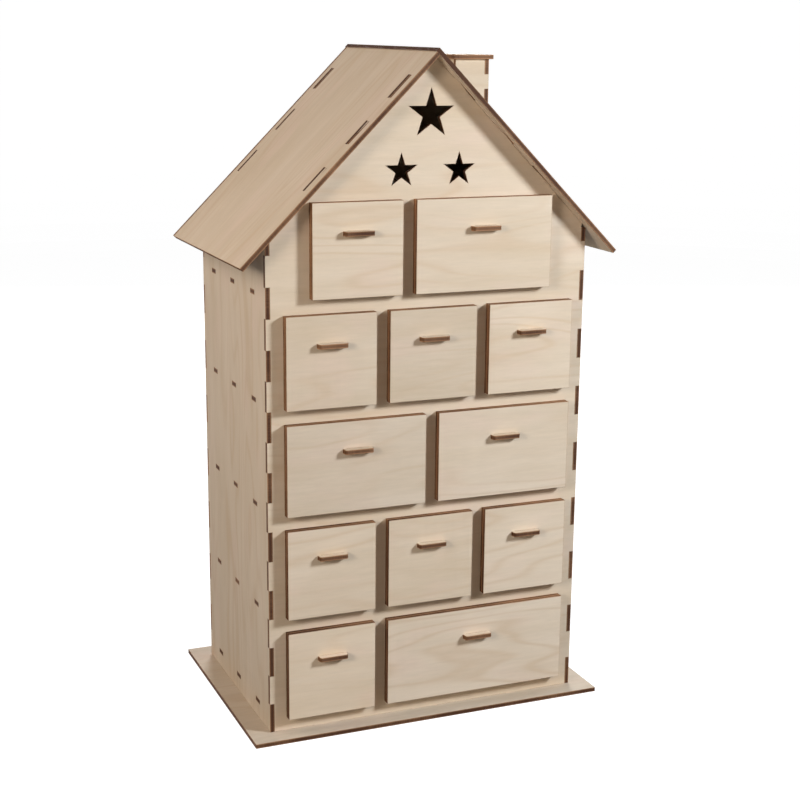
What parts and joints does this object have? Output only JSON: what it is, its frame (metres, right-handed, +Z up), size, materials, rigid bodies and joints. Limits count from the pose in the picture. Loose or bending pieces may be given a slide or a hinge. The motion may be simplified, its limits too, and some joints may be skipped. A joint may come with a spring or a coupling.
{
  "type": "wooden advent calendar",
  "caption": "House of laser-cut birch plywood with a pitched roof, chimney and star cut-outs; small drawers with flat pulls slide out of its front and back to hold gifts.",
  "frame": {"origin": "centre of the base plate's underside, on the table", "axes": "+Z up towards the ridge, -Y out of the front, +X to the right as the front is looked at"},
  "size_m": [0.3504, 0.231, 0.5991],
  "materials": {
    "house_board": "bare birch ply, burnt edges",
    "roof_board": "bare birch ply, burnt edges",
    "inner_board": "bare birch ply, burnt edges",
    "drawer_tray": "bare birch ply, burnt edges",
    "drawer_front": "bare birch ply, burnt edges"
  },
  "bodies": {
    "house": {"base_plate": "house_board", "front_panel": "house_board", "back_panel": "house_board", "left_side_panel": "house_board", "right_side_panel": "house_board", "left_roof_panel": "roof_board", "right_roof_panel": "roof_board", "shelves": "inner_board", "dividers": "inner_board", "chimney_walls": "roof_board", "chimney_cap": "roof_board"},
    "drawer_01": {"drawer_01_tray": "drawer_tray", "drawer_01_front": "drawer_front"},
    "drawer_02": {"drawer_02_tray": "drawer_tray", "drawer_02_front": "drawer_front"},
    "drawer_03": {"drawer_03_tray": "drawer_tray", "drawer_03_front": "drawer_front"},
    "drawer_04": {"drawer_04_tray": "drawer_tray", "drawer_04_front": "drawer_front"},
    "drawer_05": {"drawer_05_tray": "drawer_tray", "drawer_05_front": "drawer_front"},
    "drawer_06": {"drawer_06_tray": "drawer_tray", "drawer_06_front": "drawer_front"},
    "drawer_07": {"drawer_07_tray": "drawer_tray", "drawer_07_front": "drawer_front"},
    "drawer_08": {"drawer_08_tray": "drawer_tray", "drawer_08_front": "drawer_front"},
    "drawer_09": {"drawer_09_tray": "drawer_tray", "drawer_09_front": "drawer_front"},
    "drawer_10": {"drawer_10_tray": "drawer_tray", "drawer_10_front": "drawer_front"},
    "drawer_11": {"drawer_11_tray": "drawer_tray", "drawer_11_front": "drawer_front"},
    "drawer_12": {"drawer_12_tray": "drawer_tray", "drawer_12_front": "drawer_front"},
    "drawer_13": {"drawer_13_tray": "drawer_tray", "drawer_13_front": "drawer_front"},
    "drawer_14": {"drawer_14_tray": "drawer_tray", "drawer_14_front": "drawer_front"},
    "drawer_15": {"drawer_15_tray": "drawer_tray", "drawer_15_front": "drawer_front"},
    "drawer_16": {"drawer_16_tray": "drawer_tray", "drawer_16_front": "drawer_front"},
    "drawer_17": {"drawer_17_tray": "drawer_tray", "drawer_17_front": "drawer_front"},
    "drawer_18": {"drawer_18_tray": "drawer_tray", "drawer_18_front": "drawer_front"},
    "drawer_19": {"drawer_19_tray": "drawer_tray", "drawer_19_front": "drawer_front"},
    "drawer_20": {"drawer_20_tray": "drawer_tray", "drawer_20_front": "drawer_front"},
    "drawer_21": {"drawer_21_tray": "drawer_tray", "drawer_21_front": "drawer_front"},
    "drawer_22": {"drawer_22_tray": "drawer_tray", "drawer_22_front": "drawer_front"},
    "drawer_23": {"drawer_23_tray": "drawer_tray", "drawer_23_front": "drawer_front"},
    "drawer_24": {"drawer_24_tray": "drawer_tray", "drawer_24_front": "drawer_front"}
  },
  "joints": [
    {"name": "drawer_01_slide", "type": "slide", "parent": "house", "child": "drawer_01", "axis": [0, -1, 0], "range_m": [0, 0.07]},
    {"name": "drawer_02_slide", "type": "slide", "parent": "house", "child": "drawer_02", "axis": [0, -1, 0], "range_m": [0, 0.07]},
    {"name": "drawer_03_slide", "type": "slide", "parent": "house", "child": "drawer_03", "axis": [0, -1, 0], "range_m": [0, 0.07]},
    {"name": "drawer_04_slide", "type": "slide", "parent": "house", "child": "drawer_04", "axis": [0, -1, 0], "range_m": [0, 0.07]},
    {"name": "drawer_05_slide", "type": "slide", "parent": "house", "child": "drawer_05", "axis": [0, -1, 0], "range_m": [0, 0.07]},
    {"name": "drawer_06_slide", "type": "slide", "parent": "house", "child": "drawer_06", "axis": [0, -1, 0], "range_m": [0, 0.07]},
    {"name": "drawer_07_slide", "type": "slide", "parent": "house", "child": "drawer_07", "axis": [0, -1, 0], "range_m": [0, 0.07]},
    {"name": "drawer_08_slide", "type": "slide", "parent": "house", "child": "drawer_08", "axis": [0, -1, 0], "range_m": [0, 0.07]},
    {"name": "drawer_09_slide", "type": "slide", "parent": "house", "child": "drawer_09", "axis": [0, -1, 0], "range_m": [0, 0.07]},
    {"name": "drawer_10_slide", "type": "slide", "parent": "house", "child": "drawer_10", "axis": [0, -1, 0], "range_m": [0, 0.07]},
    {"name": "drawer_11_slide", "type": "slide", "parent": "house", "child": "drawer_11", "axis": [0, -1, 0], "range_m": [0, 0.07]},
    {"name": "drawer_12_slide", "type": "slide", "parent": "house", "child": "drawer_12", "axis": [0, -1, 0], "range_m": [0, 0.07]},
    {"name": "drawer_13_slide", "type": "slide", "parent": "house", "child": "drawer_13", "axis": [0, 1, 0], "range_m": [0, 0.07]},
    {"name": "drawer_14_slide", "type": "slide", "parent": "house", "child": "drawer_14", "axis": [0, 1, 0], "range_m": [0, 0.07]},
    {"name": "drawer_15_slide", "type": "slide", "parent": "house", "child": "drawer_15", "axis": [0, 1, 0], "range_m": [0, 0.07]},
    {"name": "drawer_16_slide", "type": "slide", "parent": "house", "child": "drawer_16", "axis": [0, 1, 0], "range_m": [0, 0.07]},
    {"name": "drawer_17_slide", "type": "slide", "parent": "house", "child": "drawer_17", "axis": [0, 1, 0], "range_m": [0, 0.07]},
    {"name": "drawer_18_slide", "type": "slide", "parent": "house", "child": "drawer_18", "axis": [0, 1, 0], "range_m": [0, 0.07]},
    {"name": "drawer_19_slide", "type": "slide", "parent": "house", "child": "drawer_19", "axis": [0, 1, 0], "range_m": [0, 0.07]},
    {"name": "drawer_20_slide", "type": "slide", "parent": "house", "child": "drawer_20", "axis": [0, 1, 0], "range_m": [0, 0.07]},
    {"name": "drawer_21_slide", "type": "slide", "parent": "house", "child": "drawer_21", "axis": [0, 1, 0], "range_m": [0, 0.07]},
    {"name": "drawer_22_slide", "type": "slide", "parent": "house", "child": "drawer_22", "axis": [0, 1, 0], "range_m": [0, 0.07]},
    {"name": "drawer_23_slide", "type": "slide", "parent": "house", "child": "drawer_23", "axis": [0, 1, 0], "range_m": [0, 0.07]},
    {"name": "drawer_24_slide", "type": "slide", "parent": "house", "child": "drawer_24", "axis": [0, 1, 0], "range_m": [0, 0.07]}
  ]
}
